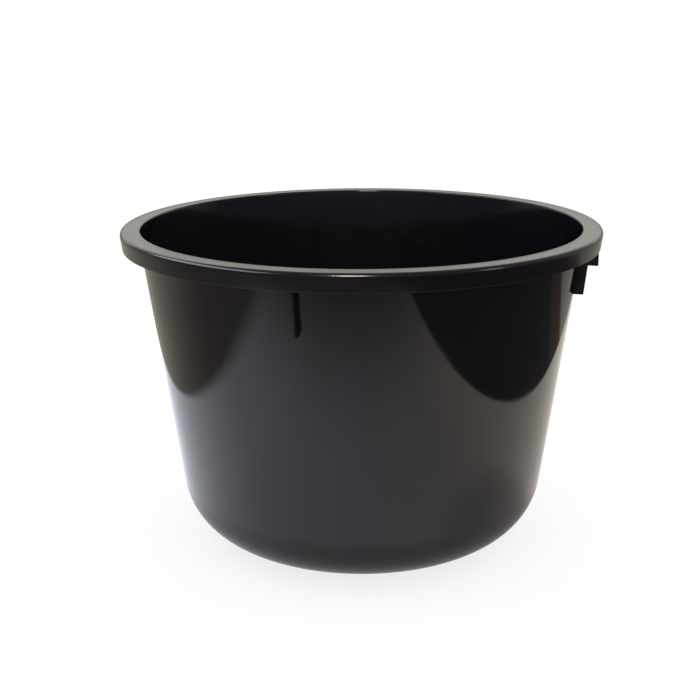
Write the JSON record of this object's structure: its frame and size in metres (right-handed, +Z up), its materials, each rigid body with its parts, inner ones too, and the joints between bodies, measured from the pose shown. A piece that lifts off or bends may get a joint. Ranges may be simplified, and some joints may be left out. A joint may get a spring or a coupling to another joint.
{
  "type": "mortar mixing tub",
  "caption": "Round tapered plastic mixing tub with a large curved heel, a flat turned-down rim to lift it by, and four short ribs and two side tabs under it.",
  "frame": {"origin": "centre of the foot ring's underside, on the surface that the tub stands on", "axes": "+Z up, along the tub's axis, out of its mouth; -Y is the front, where one rib stands a little to the left; +X and -X are the sides with the tabs"},
  "size_m": [0.57, 0.57, 0.385],
  "materials": {
    "black_plastic": "smooth moulded polyethylene, glossy, with a soft surface waviness"
  },
  "bodies": {
    "root": {"floor": "black_plastic", "heel": "black_plastic", "wall": "black_plastic", "rim_flange": "black_plastic", "rim_skirt_front": "black_plastic", "rim_skirt_right": "black_plastic", "rim_skirt_rear": "black_plastic", "rim_skirt_left": "black_plastic", "foot_ring": "black_plastic", "gate_mark": "black_plastic", "front_rib": "black_plastic", "right_rib": "black_plastic", "rear_rib": "black_plastic", "left_rib": "black_plastic", "right_tab": "black_plastic", "left_tab": "black_plastic"}
  },
  "joints": []
}
